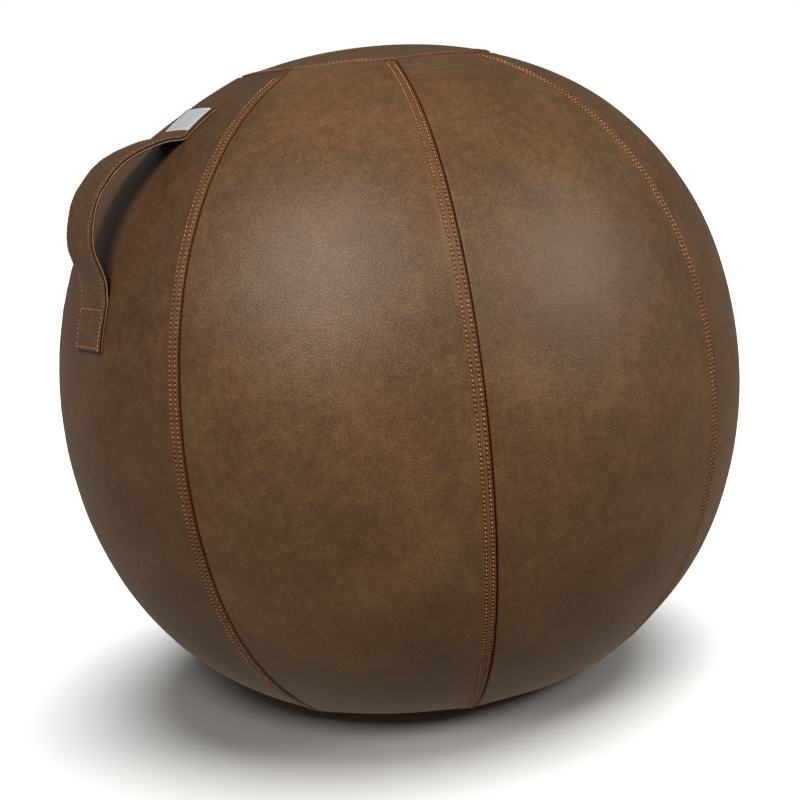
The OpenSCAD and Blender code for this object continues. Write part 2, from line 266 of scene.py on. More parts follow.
def side_panel(k):
    """One gore of the cover, from the top panel to the base, whose middle is at (k - 1) pitches."""
    middle = 2 * HALF_PITCH * (k - 1)
    top, bottom = length_at(TOP_CORNER), length_at(BASE_ANGLE)
    rows = int(round((bottom - top) / ROW_STEP))
    along = np.linspace(0, bottom - top, rows + 1)
    a_seam = angle_at(top + along)
    share = ((a_seam - TOP_CORNER) / (BASE_ANGLE - TOP_CORNER))[:, None]
    a = np.repeat(a_seam[:, None], len(PLAIN) + BETWEEN + len(FOLDED), 1)
    for _ in range(3):
        turn = np.zeros_like(a)
        for i in range(a.shape[1]):
            turn[:, i] = (across_panel(a[:, i])[:, i]
                          / (cover_r(a[:, i]) * np.sin(a[:, i])))
        turn = np.clip(turn, -HALF_PITCH, HALF_PITCH)
        edge = np.arctan(math.tan(TOP_EDGE) / np.cos(turn))
        a = edge + share * (BASE_ANGLE - edge)
    r = cover_r(a)
    d_left = r * np.sin(a) * np.sin(turn + HALF_PITCH)
    d_right = r * np.sin(a) * np.sin(HALF_PITCH - turn)
    d_top = r * (np.sin(a) * np.cos(turn) * math.cos(TOP_EDGE) - np.cos(a) * math.sin(TOP_EDGE))
    run = np.repeat(along[:, None], a.shape[1], 1)
    flat = on_cover(a, middle + turn)
    near = np.minimum(np.minimum(d_left, d_right), d_top)
    h = folded_side(d_right, run) * ease(d_top / (6 * MM) + 0.25)
    h += np.minimum(np.minimum(groove(d_left, run), groove(d_right, run)), groove(d_top, turn * r))
    h += slack(flat, near, 11 * k)
    # The corners stand proud where several folded edges lie on each other.
    corner = np.hypot(np.minimum(d_left, d_right), d_top)
    h += 1.5 * MM * bell(corner, 0, 15 * MM) * ease(corner / (2.5 * MM))
    foot = bottom - top - run
    h += 1.3 * MM * bell(np.hypot(np.minimum(d_left, d_right), foot), 0, 20 * MM)
    # The lower edge rolls under to the base panel.
    roll = np.clip(1 - foot / (9 * MM), 0, 1)
    h -= 3.2 * MM * (1 - np.sqrt(1 - roll ** 2))
    points = on_cover(a, middle + turn, h)
    # Seam tint, with painted shade in the grooves, along the rows and at the needle holes.
    tint_and_shade = np.maximum(seam_tint_and_shade(d_right, run, (ROW_NEAR, ROW_FAR)), seam_tint_and_shade(d_left, run, ()))
    tint_and_shade = np.pad(np.maximum(tint_and_shade, seam_tint_and_shade(d_top, turn * r, ())), ((1, 0), (1, 1)), "edge")
    # Every edge is turned in, as the sewn edge is.
    lip = LIP / (cover_r(a) * np.sin(a))
    wide = np.concatenate([turn[:, :1] - lip[:, :1], turn, turn[:, -1:] + lip[:, -1:]], 1)
    wide_a = np.pad(a, ((0, 0), (1, 1)), "edge")
    inner = on_cover(wide_a, middle + wide, -TURNED)
    points = np.concatenate([inner[:, :1], points, inner[:, -1:]], 1)
    first = on_cover(wide_a[:1] - 1.6 * LIP / BALL_R, middle + wide[:1], -TURNED)
    points = np.concatenate([first, points], 0)
    return keep_tint_and_shade(grid(f"cover_panel_{k}", points), tint_and_shade)


def sector_turn(azimuth):
    """Angle from the middle of the nearest panel."""
    return (azimuth + HALF_PITCH) % (2 * HALF_PITCH) - HALF_PITCH


def top_distance(a, azimuth):
    """Distance from the top panel's edge, to the inside."""
    turn = sector_turn(azimuth)
    return cover_r(a) * (np.cos(a) * math.sin(TOP_EDGE)
                         - np.sin(a) * np.cos(turn) * math.cos(TOP_EDGE))


def top_panel():
    """The octagon on the crown, with its topstitched border."""
    around = PANELS * 72
    azimuth = np.arange(around) / around * 2 * math.pi + HALF_PITCH
    edge = np.arctan(math.tan(TOP_EDGE) / np.cos(sector_turn(azimuth)))
    one_row = FOLDED[FOLDED < 9 * MM]
    near = edge[None] - (one_row / BALL_R)[:, None]
    share = np.linspace(1, 0, 26)[1:, None]
    a = np.concatenate([near, near[-1:] * share])
    azimuth = np.repeat(azimuth[None], len(a), 0)
    flat = on_cover(a, azimuth)
    d = top_distance(a, azimuth)
    turn = sector_turn(azimuth)
    along = np.tan(turn) * BALL_R * math.sin(TOP_EDGE)
    hole = holes(along)
    mm = d / MM
    h = MM * (0.75 * ease((mm - 0.4) / 2.0) * (1 - ease((mm - 4.5) / 9))
              + 0.4 * bell(mm, 1.8, 0.9) * (1 - 0.35 * hole)
              - (0.4 + 0.45 * hole) * bell(mm, ROW_NEAR / MM, 0.9))
    h += groove(d, along) + slack(flat, d, 3)
    side = np.abs(HALF_PITCH - np.abs(turn)) * BALL_R * np.sin(a)
    corner = np.hypot(side, d)
    h += 1.6 * MM * bell(corner, 0, 15 * MM) * ease(corner / (2.5 * MM))
    points = on_cover(a, azimuth, h)
    lip = on_cover(a[:1] + 0.5 * LIP / BALL_R, azimuth[:1], -TURNED)
    points = np.concatenate([lip, points], 0)
    # Seam tint, with painted shade in the groove, along the row and at the needle holes.
    tint_and_shade = np.pad(seam_tint_and_shade(d, along, (ROW_NEAR,)), ((1, 0), (0, 0)), "edge")
    return keep_tint_and_shade(grid("cover_top", points, wrap_cols=True), tint_and_shade)


def base_panel():
    """The round base, drawn tight over its ring, with the slot for the zip."""
    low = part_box("base_panel")[0]
    edge = -low.x
    slot, sink = 4 * MM, 2.2 * MM
    sweep_from = math.radians(ZIP_MID - ZIP_SWEEP / 2)
    sweep_to = math.radians(ZIP_MID + ZIP_SWEEP / 2)
    around = 720
    azimuth = np.arange(around) / around * 2 * math.pi
    radii = np.concatenate([np.linspace(0, 118, 16)[1:], [121, 128, 135, 142, 149, 152, 156, 160,
                            162, 163.2, 164], [172, 172.8, 174, 176, 178.5, 181]]) * MM
    open_arc = (azimuth >= sweep_from % (2 * math.pi)) | (azimuth <= sweep_to)
    radius = np.repeat(radii[:, None], around, 1)
    angle = np.repeat(azimuth[None], len(radii), 0)
    z = np.full(radius.shape, low.z)
    z -= sink * (1 - (radius / (118 * MM)) ** 2).clip(0) ** 0.8
    lip = bell(radius, ZIP_R - slot, 1.2 * MM) + bell(radius, ZIP_R + slot, 1.2 * MM)
    z += 0.7 * MM * lip * open_arc[None]
    z += 0.12 * MM * waves(np.stack([radius * np.cos(angle), radius * np.sin(angle), 0 * z], -1),
                           (0.02, 0.06), 31)
    z += 1.1 * MM * bell(radius, edge - 3.5 * MM, 2.5 * MM)
    points = np.stack([radius * np.cos(angle), radius * np.sin(angle), z], -1)
    faces = grid_faces(len(radii), around, wrap_cols=True)
    gap_row = list(radii).index(164 * MM)
    start, stop = gap_row * around, (gap_row + 1) * around
    faces = [f[::-1] for f in faces if not (start <= min(f) < stop and open_arc[min(f) % around])]
    centre = len(points.reshape(-1, 3))
    faces += [[centre, j, (j + 1) % around] for j in range(around)]
    flat = np.concatenate([points.reshape(-1, 3), [[0, 0, low.z - sink]]])
    return make_mesh("cover_base", flat, faces)


# ---- stitches ----

THREAD_LEN = 2.55 * MM


def stitches(name, starts, tangents, normals, radius=0.5 * MM):
    """One short arched thread for each stitch, whose ends dive into the leather."""
    starts, tangents, normals = (np.asarray(x, float).reshape(-1, 3)
                                 for x in (starts, tangents, normals))
    count = len(starts)
    local = np.random.default_rng(len(name))
    lean = local.normal(0.12, 0.05, count)[:, None]
    side = np.cross(normals, tangents)
    tangents = tangents * np.cos(lean) + side * np.sin(lean)
    side = np.cross(normals, tangents)
    t = np.array([-1, -0.75, -0.3, 0.3, 0.75, 1])
    rise = radius * (1.5 * (1 - t ** 2) - 0.95)
    thick = radius * (1 - 0.3 * t ** 2)
    corner = np.arange(6) * math.pi / 3
    length = THREAD_LEN * local.uniform(0.93, 1.05, count)
    spine = (starts[:, None] + tangents[:, None] * (t[None, :, None] * length[:, None, None] / 2)
             + normals[:, None] * rise[None, :, None])
    rings = (spine[:, :, None]
             + side[:, None, None] * (np.cos(corner) * thick[:, None])[None, :, :, None]
             + normals[:, None, None] * (np.sin(corner) * thick[:, None])[None, :, :, None])
    per = len(t) * 6
    one = np.array([f[::-1] for f in grid_faces(len(t), 6, wrap_cols=True)])
    faces = (one[None] + (np.arange(count) * per)[:, None, None]).reshape(-1, 4).tolist()
    for first in range(0, count * per, per):
        faces.append([first + j for j in range(6)])
        faces.append([first + per - 1 - j for j in range(6)])
    return make_mesh(name, rings.reshape(-1, 3), faces)


def frames_along(points, outward):
    """Tangent and outward direction at each point of a run of points."""
    tangents = np.gradient(points, axis=0)
    tangents /= np.linalg.norm(tangents, axis=1)[:, None]
    normals = outward - (outward * tangents).sum(1)[:, None] * tangents
    normals /= np.linalg.norm(normals, axis=1)[:, None]
    return tangents, normals


def outward_from_centre(points):
    out = points - np.array([0, 0, CENTRE_Z])
    return out / np.linalg.norm(out, axis=1)[:, None]


def joined(name, rows, radius=0.5 * MM):
    """One piece from several rows of stitches, each given as points, tangents and normals."""
    return stitches(name, *(np.concatenate(x) for x in zip(*rows)), radius=radius)


def row_on_cover(a, azimuth, h):
    points = on_cover(a, azimuth, h)
    return points, *frames_along(points, outward_from_centre(points))


def side_stitches():
    """The twin rows beside each side seam."""
    rows = []
    top, bottom = length_at(TOP_CORNER), length_at(BASE_ANGLE)
    count = int((bottom - top) / STITCH)
    for k in range(PANELS):
        seam = (k + 0.5) * 2 * HALF_PITCH
        for row in (ROW_NEAR, ROW_FAR):
            a = angle_at(top + (np.arange(count) + 0.5) * STITCH)
            a = a[length_at(a) > top + row * 0.42 + 1.5 * MM]
            turn = np.arcsin(row / (cover_r(a) * np.sin(a)))
            rows.append(row_on_cover(a, seam - turn, 0.42 * MM))
    return joined("seam_stitches", rows)


def top_stitches():
    """The row along each side of the top panel."""
    rows = []
    half = BALL_R * math.sin(TOP_EDGE) * math.tan(HALF_PITCH)
    count = int(2 * half / STITCH)
    for k in range(PANELS):
        along = (np.arange(count) - (count - 1) / 2) * STITCH
        turn = np.arctan(along / (BALL_R * math.sin(TOP_EDGE)))
        a = np.arctan(math.tan(TOP_EDGE) / np.cos(turn)) - ROW_NEAR / BALL_R
        rows.append(row_on_cover(a, k * 2 * HALF_PITCH + turn, 0.4 * MM))
    return joined("top_stitches", rows)


def ring_of_stitches(name, radius, z):
    """A round row of stitches under the base."""
    count = int(2 * math.pi * radius / STITCH)
    angle = np.arange(count) / count * 2 * math.pi
    points = np.stack([radius * np.cos(angle), radius * np.sin(angle), 0 * angle + z], -1)
    tangents = np.stack([-np.sin(angle), np.cos(angle), 0 * angle], -1)
    return stitches(name, points, tangents, np.tile([0, 0, -1.0], (count, 1)))


# ---- the carry strap ----

STRAP_W, LAYER = 50 * MM, 2 * MM
# The rows of stitches lie this far in from the strap's edges, a little sunk.
ROW_AT = STRAP_W / 2 - 3 * MM
SUNK = LAYER - 0.25 * MM
STRAP_THREAD_R = 0.42 * MM
LIFT = LAYER + 0.05 * MM
END_TOP, TAB_TOP, END_BOTTOM = 33.3, 69.4, 75.4
# The middle of the strap's thickness: angle from the top pole, height off the cover.
KNOTS = np.array([
    [END_TOP, LIFT / MM], [36.5, LIFT / MM], [39.2, LIFT / MM], [40.5, LIFT / MM + 1],
    [43.6, 14.9], [48.6, 30.3], [52.5, 35.3], [56, 35.6], [61, 26.1], [64.6, 9],
    [67.6, LIFT / MM + 1], [68.9, LIFT / MM], [72, LIFT / MM], [END_BOTTOM, LIFT / MM]])


def strap_path():
    """Points of the strap's middle line in (radius, z), evenly spaced."""
    padded = np.vstack([2 * KNOTS[0] - KNOTS[1], KNOTS, 2 * KNOTS[-1] - KNOTS[-2]])
    curve = []
    for i in range(len(KNOTS) - 1):
        p, q, r, s = padded[i:i + 4]
        t = np.linspace(0, 1, 40, endpoint=False)[:, None]
        curve.append((2 * q + (r - p) * t + (2 * p - 5 * q + 4 * r - s) * t ** 2
                      + (3 * q - p - 3 * r + s) * t ** 3) / 2)
    curve = np.vstack(curve + [KNOTS[-1:]])
    r, z = meridian(np.radians(curve[:, 0]), curve[:, 1] * MM)
    points = np.stack([r, z], -1)
    run = np.concatenate([[0], np.cumsum(np.linalg.norm(np.diff(points, axis=0), axis=1))])
    count = int(run[-1] / (1.2 * MM))
    even = np.linspace(0, run[-1], count + 1)
    line = np.stack([np.interp(even, run, points[:, i]) for i in (0, 1)], -1)
    lift = np.interp(even, run, curve[:, 1]) * MM
    return line, even, lift


PATH, PATH_RUN, PATH_LIFT = strap_path()
_t = np.gradient(PATH, axis=0)
_t /= np.linalg.norm(_t, axis=1)[:, None]
PATH_OUT = np.stack([-_t[:, 1], _t[:, 0]], -1)
# How far the strap lies flat on the ball, 1, or stands free, 0.
PATH_FLAT = 1 - ease((PATH_LIFT - LIFT) / (9 * MM))
MIDDLE = int(np.argmax(PATH_LIFT))
SEAT = np.degrees(np.arctan2(PATH[:, 0], PATH[:, 1] - CENTRE_Z))


def strap_points(index, y, h):
    """Points on the strap: index along it, y across it, h off its middle."""
    sag = y ** 2 / (2 * 300 * MM) * PATH_FLAT[index] - 0.8 * MM * (1 - PATH_FLAT[index]) * (
        1 - (2 * y / STRAP_W) ** 2)
    at = PATH[index] + PATH_OUT[index] * (h - sag)[..., None]
    return np.stack([-at[..., 0], y * np.ones_like(at[..., 0]), at[..., 1]], -1)


def layer_section(outer):
    """Closed outline (y, h) of one leather layer, rounded at its outer edges."""
    half = STRAP_W / 2
    round_r = 0.9 * MM
    turn = np.radians(np.array([0, 22, 45, 67, 90]))
    y = np.concatenate([half - round_r + round_r * np.cos(turn),
                        np.array([22.4, 21.7, 21, 20.3, 19.4, 17, 13, 8, 3]) * MM])
    h = np.concatenate([LAYER - round_r + round_r * np.sin(turn), np.full(9, LAYER)])
    h -= 0.4 * MM * bell(y, half - 3 * MM, 0.9 * MM)
    face = np.stack([np.concatenate([y, -y[::-1]]), np.concatenate([h, h[::-1]])], -1)
    inside = np.array([[-half, 0.25 * MM], [-half + 0.5 * MM, 0.02 * MM],
                       [half - 0.5 * MM, 0.02 * MM], [half, 0.25 * MM]])
    section = np.vstack([face, inside])
    if not outer:
        section[:, 1] *= -1
    return section


def strap_layer(name, outer, first, last):
    """One leather layer of the strap, between two indexes along it."""
    section = layer_section(outer)
    index = np.arange(first, last + 1)
    y = np.repeat(section[None, :, 0], len(index), 0)
    h = np.repeat(section[None, :, 1], len(index), 0)
    wrinkle = np.stack([y * 0, y, np.repeat(PATH_RUN[index][:, None], y.shape[1], 1)], -1)
    h = h + 0.16 * MM * waves(wrinkle, (0.012, 0.05), 5) * (np.abs(h) > 1 * MM)
    index = np.repeat(index[:, None], y.shape[1], 1)
    points = strap_points(index, y, h)
    rows, cols = points.shape[:2]
    faces = grid_faces(rows, cols, wrap_cols=True)
    if outer:
        faces = [f[::-1] for f in faces]
    caps = [list(range(cols)), list(range((rows - 1) * cols, rows * cols))[::-1]]
    if not outer:
        caps = [c[::-1] for c in caps]
    obj = make_mesh(name, points, faces + caps)
    # The end faces are flat, with sharp rims, so that no shading shows where the halves meet.
    for cap in list(obj.data.polygons)[-2:]:
        cap.use_smooth = False
        for corner in cap.loop_indices:
            obj.data.edges[obj.data.loops[corner].edge_index].use_edge_sharp = True
    return obj


def strap_row(index_from, index_to, y, h):
    """Stitches along the strap at y, from one path index to another."""
    run = np.arange(PATH_RUN[index_from] + 2 * MM, PATH_RUN[index_to] - 1 * MM, STITCH)
    index = np.searchsorted(PATH_RUN, run)
    points = strap_points(index, np.full(len(index), y), np.full(len(index), h))
    out = PATH_OUT[index]
    outward = np.stack([-out[:, 0], 0 * out[:, 0], out[:, 1]], -1)
    tangent, normal = frames_along(points, outward)
    return points, tangent, normal


def seat_index(angle):
    """Index along the strap where it is at this angle from the top pole."""
    return int(np.argmin(np.abs(SEAT - angle)))


def cross_row(angle, h):
    """Stitches across the strap where its sewn end is at this angle from the top pole."""
    at = seat_index(angle)
    count = int(2 * ROW_AT / STITCH)
    y = (np.arange(count) - (count - 1) / 2) * STITCH
    points = strap_points(np.full(count, at), y, np.full(count, h))
    out = np.array([-PATH_OUT[at][0], 0, PATH_OUT[at][1]])
    tangent, normal = frames_along(points, np.tile(out, (count, 1)))
    return points, tangent, normal


# The label's ends as angles from the top pole, its sides across the strap, and the place
# where its pale field begins.
LABEL_FROM, LABEL_TO = 33.45, 38.9
LABEL_NEAR, LABEL_FAR = -23.4 * MM, 24.9 * MM
FIELD_FAR, FIELD_TOP = 20 * MM, 2.2 * MM


def label():
    """A plain woven label over the strap's end, a little puffed, with a dark margin."""
    rows, cols = 56, 96
    along = np.interp(np.linspace(LABEL_FROM, LABEL_TO, rows), SEAT[:MIDDLE], PATH_RUN[:MIDDLE])
    run = (along - along[0])[:, None]
    y = np.linspace(LABEL_NEAR, LABEL_FAR, cols)[None]
    rim = np.minimum(np.minimum(run, run[-1] - run), np.minimum(y - LABEL_NEAR, LABEL_FAR - y)) / MM
    h = LAYER + MM * (0.15 + 0.5 * ease(rim / 0.9))
    field = np.minimum(np.minimum(run - FIELD_TOP, run[-1] - run), FIELD_FAR - y) / MM
    h = h + MM * (0.10 * ease(field / 0.5) - 0.16 * bell(field, 1.4, 0.35))
    index = np.searchsorted(PATH_RUN, along)
    part = (along - PATH_RUN[index - 1]) / (PATH_RUN[index] - PATH_RUN[index - 1])
    grid_y = np.repeat(y, rows, 0)

    def surface(height):
        ends = [strap_points(np.repeat(i[:, None], cols, 1), grid_y, height)
                for i in (index - 1, index)]
        return ends[0] + (ends[1] - ends[0]) * part[:, None, None]

    points, low = surface(h), surface(np.full(h.shape, LAYER - 0.2 * MM))
    framed = np.concatenate([low[:, :1], points, low[:, -1:]], 1)
    top = np.concatenate([low[:1, :1], low[:1], low[:1, -1:]], 1)
    end = np.concatenate([low[-1:, :1], low[-1:], low[-1:, -1:]], 1)
    obj = grid("label", np.concatenate([top, framed, end], 0)[:, ::-1])
    kind = np.where(field < 0, 2, np.where(field < 0.9, 1, 0))
    kind = np.pad(kind[:-1, :-1], 1, constant_values=2)[:, ::-1]
    kind = np.pad(kind, ((0, rows + 1 - kind.shape[0]), (0, cols + 1 - kind.shape[1])),
                  constant_values=2)
    return obj, kind.reshape(-1)


# ---- base ring and zip ----

def ring_sleeve():
    """The ring's sleeve: flat underneath, with soft sides and small gathers."""
    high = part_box("ring_sleeve")[1]
    outer = high.x
    inner = outer - RING_W
    top, round_r = high.z, 4 * MM
    bottom = np.radians(np.array([-90, -68, -45, -22, 0]))
    right = np.stack([outer - round_r + round_r * np.cos(bottom),
                      round_r + round_r * np.sin(bottom)], -1)
    side = np.array([[outer - 0.2 * MM, 7 * MM], [outer - 0.5 * MM, 10 * MM],
                     [outer - 1.2 * MM, top]])
    half = np.vstack([right, side])
    mirrored = np.stack([outer + inner - half[::-1, 0], half[::-1, 1]], -1)
    section = np.vstack([half, mirrored])
    around = 480
    azimuth = np.arange(around) / around * 2 * math.pi
    r = np.repeat(section[None, :, 0], around, 0)
    z = np.repeat(section[None, :, 1], around, 0)
    free = np.sin(np.clip(z / top, 0, 1) * math.pi)
    gather = 0.45 * MM * free * np.sin(azimuth * 90 + 2.2 * np.sin(azimuth * 7))[:, None]
    out = np.sign(r - (outer + inner) / 2)
    r = r + out * gather
    points = np.stack([r * np.cos(azimuth)[:, None], r * np.sin(azimuth)[:, None], z], -1)
    return grid("ring_cover", points, wrap_rows=True, wrap_cols=True)


def zip_coil(name, side):
    """The coil's links on one tape, which reach between the links of the other."""
    low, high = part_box("zip_teeth_inner")
    z = (low.z + high.z) / 2
    pitch = 1.7 * MM
    sweep = ZIP_SWEEP - 2
    count = int(math.radians(sweep) * ZIP_R / pitch)
    shift = side * 0.25
    angle = (math.radians(ZIP_MID - sweep / 2)
             + (np.arange(count) + 0.5 + shift) * pitch / ZIP_R)
    t = np.array([-1.0, -0.7, 0, 0.7, 1.0])
    reach = ZIP_R + side * (0.35 * MM + (t + 1) * 0.9 * MM)
    thick = np.array([0.42, 0.42, 0.34, 0.34, 0.2]) * MM
    height = np.array([0.95, 1.0, 1.0, 0.9, 0.5]) * MM
    corner = np.radians(np.arange(0, 360, 45))
    radial = np.stack([np.cos(angle), np.sin(angle), 0 * angle], -1)
    around = np.stack([-np.sin(angle), np.cos(angle), 0 * angle], -1)
    up = np.array([0, 0, 1.0])
    rings = (radial[:, None, None] * reach[None, :, None, None]
             + around[:, None, None] * (np.cos(corner) * thick[:, None])[None, :, :, None]
             + up * (z + np.sin(corner) * height[:, None])[None, :, :, None])
    per = len(t) * 8
    one = np.array(grid_faces(len(t), 8, wrap_cols=True))
    faces = (one[None] + (np.arange(count) * per)[:, None, None]).reshape(-1, 4).tolist()
    for first in range(0, count * per, per):
        faces.append([first + j for j in range(8)][::-1])
        faces.append([first + per - 8 + j for j in range(8)])
    return make_mesh(name, rings.reshape(-1, 3), faces)


# ---- materials ----

class Nodes:
    """A material's node tree, with short calls for what the materials here share."""

    def __init__(self, name):
        self.material = bpy.data.materials.new(name)
        self.material.use_nodes = True
        self.tree = self.material.node_tree
        self.shader = self.tree.nodes["Principled BSDF"]
        self.place = self.new("ShaderNodeTexCoord").outputs["Object"]

    def new(self, kind, **values):
        node = self.tree.nodes.new(kind)
        for key, value in values.items():
            setattr(node, key, value)
        return node

    def link(self, a, b):
        self.tree.links.new(a, b)

    def moved(self, location):
        node = self.new("ShaderNodeMapping")
        node.inputs["Location"].default_value = location
        self.link(self.place, node.inputs["Vector"])
        return node.outputs["Vector"]

    def noise(self, scale, detail=4.0, rough=0.55, vector=None, distortion=0.0):
        node = self.new("ShaderNodeTexNoise")
        node.inputs["Scale"].default_value = scale
        node.inputs["Detail"].default_value = detail
        node.inputs["Roughness"].default_value = rough
        node.inputs["Distortion"].default_value = distortion
        self.link(vector or self.place, node.inputs["Vector"])
        return node.outputs["Fac"]

    def cells(self, scale, vector):
        node = self.new("ShaderNodeTexVoronoi", feature="DISTANCE_TO_EDGE")
        node.inputs["Scale"].default_value = scale
        self.link(vector, node.inputs["Vector"])
        return node.outputs["Distance"]

    def ramp(self, value, stops):
        node = self.new("ShaderNodeValToRGB")
        ramp = node.color_ramp
        while len(ramp.elements) < len(stops):
            ramp.elements.new(0.5)
        for element, (at, color) in zip(ramp.elements, stops):
            element.position = at
            element.color = (*color, 1)
        self.link(value, node.inputs["Fac"])
        return node.outputs["Color"]

    def spread(self, value, low, high, to_low=0.0, to_high=1.0):
        node = self.new("ShaderNodeMapRange")
        for key, number in (("From Min", low), ("From Max", high), ("To Min", to_low),
                            ("To Max", to_high)):
            node.inputs[key].default_value = number
        self.link(value, node.inputs["Value"])
        return node.outputs["Result"]

    def maths(self, kind, a, b):
        node = self.new("ShaderNodeMath", operation=kind)
        for socket, value in zip(node.inputs, (a, b)):
            if isinstance(value, float):
                socket.default_value = value
            else:
                self.link(value, socket)
        return node.outputs[0]

    def mix(self, factor, a, b, kind="MIX"):
        node = self.new("ShaderNodeMix", data_type="RGBA", blend_type=kind)
        for socket, value in ((node.inputs[0], factor), (node.inputs[6], a), (node.inputs[7], b)):
            if isinstance(value, float):
                socket.default_value = value
            else:
                self.link(value, socket)
        return node.outputs[2]

    def bump(self, height, strength, distance, normal=None):
        node = self.new("ShaderNodeBump")
        node.inputs["Strength"].default_value = strength
        node.inputs["Distance"].default_value = distance
        self.link(height, node.inputs["Height"])
        if normal is not None:
            self.link(normal, node.inputs["Normal"])
        return node.outputs["Normal"]

    def color(self, value):
        self.link(value, self.shader.inputs["Base Color"])

    def rough(self, value):
        if isinstance(value, float):
            self.shader.inputs["Roughness"].default_value = value
        else:
            self.link(value, self.shader.inputs["Roughness"])

    def normal(self, value):
        self.link(value, self.shader.inputs["Normal"])


def srgb(r, g, b):
    """Linear colour from 0 to 255 display values."""
    return tuple(c / 3294.6 if c <= 10.3 else ((c / 255 + 0.055) / 1.055) ** 2.4
                 for c in (r, g, b))


# The seam's warm band is the leather's own colour; the darker red and the near black are painted
# shade in the grooves, along the rows and at the needle holes.
SEAM_WARM, SEAM_RED_AND_SHADE, SEAM_SHADE = srgb(114, 75, 47), srgb(68, 36, 20), srgb(26, 15, 10)


def leather(name, seed, dark, mid, light, grain=1.0):
    """Vintage leather: cloudy pull-up shades, a pebbled grain with painted shade in its creases,
    painted shade beside the seams, and a soft shine.
    """
    m = Nodes(name)
    spot = tuple(float(x) for x in np.random.default_rng(seed).uniform(-3, 3, 3))
    where = m.moved(spot)
    cloud = m.noise(6.5, 5, 0.6, where, 0.4)
    patch = m.noise(26, 5, 0.6, where, 0.6)
    mottle = m.noise(110, 4, 0.62, where)
    speck = m.noise(480, 3, 0.6, where)
    tone = m.maths("ADD", m.maths("MULTIPLY", cloud, 0.42), m.maths("MULTIPLY", patch, 0.26))
    tone = m.maths("ADD", tone, m.maths("MULTIPLY", mottle, 0.32))
    base = m.ramp(tone, [(0.37, dark), (0.5, mid), (0.64, light)])
    warm = m.ramp(m.noise(14, 4, 0.6, m.moved((spot[1], spot[2], spot[0]))),
                  [(0.38, (0.97, 1.0, 0.98)), (0.62, (1.04, 0.98, 0.95))])
    base = m.mix(1.0, base, warm, "MULTIPLY")
    warped = m.new("ShaderNodeVectorMath", operation="ADD")
    wander = m.new("ShaderNodeVectorMath", operation="SCALE")
    wander.inputs["Scale"].default_value = 0.0016
    drift = m.new("ShaderNodeTexNoise")
    drift.inputs["Scale"].default_value = 260
    m.link(where, drift.inputs["Vector"])
    m.link(drift.outputs["Color"], wander.inputs[0])
    m.link(where, warped.inputs[0])
    m.link(wander.outputs["Vector"], warped.inputs[1])
    pebble = m.cells(540, warped.outputs["Vector"])
    fine = m.cells(1150, warped.outputs["Vector"])
    # Painted shade in the creases between the pebbles and painted light on their tops, mixed with
    # specks of the leather's own tone.
    tops = m.spread(pebble, 0.0, 0.30)
    crease_shade = m.maths("ADD", m.maths("MULTIPLY", tops, 0.65), m.maths("MULTIPLY", speck, 0.6))
    crease_shade = m.spread(crease_shade, 0.35, 0.9, 0.66, 1.15)
    shade = m.new("ShaderNodeCombineColor")
    for socket in shade.inputs:
        m.link(crease_shade, socket)
    base = m.mix(1.0, base, shade.outputs[0], "MULTIPLY")
    # Beside the seams the colour turns warm, then darker red and near black: the warmth is the
    # leather's own, the darkening is painted shade in the grooves, along the rows and at the needle
    # holes.
    seam = m.new("ShaderNodeAttribute", attribute_name="seam")
    seam_colour_and_shade = m.ramp(seam.outputs["Fac"], [(0.3, SEAM_WARM), (0.6, SEAM_RED_AND_SHADE), (1.0, SEAM_SHADE)])
    m.color(m.mix(m.spread(seam.outputs["Fac"], 0.0, 0.75, 0.0, 0.9), base, seam_colour_and_shade))
    dull = m.maths("ADD", mottle, m.maths("MULTIPLY", speck, 0.5))
    m.rough(m.spread(dull, 0.45, 1.05, 0.38, 0.50))
    height = m.maths("ADD", m.maths("MULTIPLY", tops, 0.9), m.maths("MULTIPLY", fine, 0.9))
    height = m.maths("ADD", height, m.maths("MULTIPLY", speck, 0.9))
    soft = m.bump(m.noise(38, 3, 0.5, where), 0.2, 2.0 * MM)
    m.normal(m.bump(height, 0.6 * grain, 0.2 * MM, soft))
    # The turned edges of a seam lose the shine.
    m.link(m.spread(seam.outputs["Fac"], 0.0, 0.8, 0.45, 0.06),
           m.shader.inputs["Specular IOR Level"])
    return m.material


def thread_material(name, dark, light):
    """Twisted sewing thread."""
    m = Nodes(name)
    twist = m.new("ShaderNodeTexWave", wave_type="BANDS", bands_direction="DIAGONAL")
    twist.inputs["Scale"].default_value = 900
    m.link(m.place, twist.inputs["Vector"])
    m.color(m.ramp(m.noise(160, 2), [(0.3, dark), (0.7, light)]))
    m.rough(0.6)
    m.normal(m.bump(twist.outputs["Fac"], 0.4, 0.1 * MM))
    return m.material


def edge_paint():
    """The dark paint on the strap's cut edges."""
    m = Nodes("strap_edge")
    m.color(m.ramp(m.noise(140, 3), [(0.3, srgb(24, 17, 12)), (0.7, srgb(44, 32, 24))]))
    m.rough(0.7)
    m.shader.inputs["Specular IOR Level"].default_value = 0.2
    m.normal(m.bump(m.noise(500, 3), 0.3, 0.2 * MM))
    return m.material


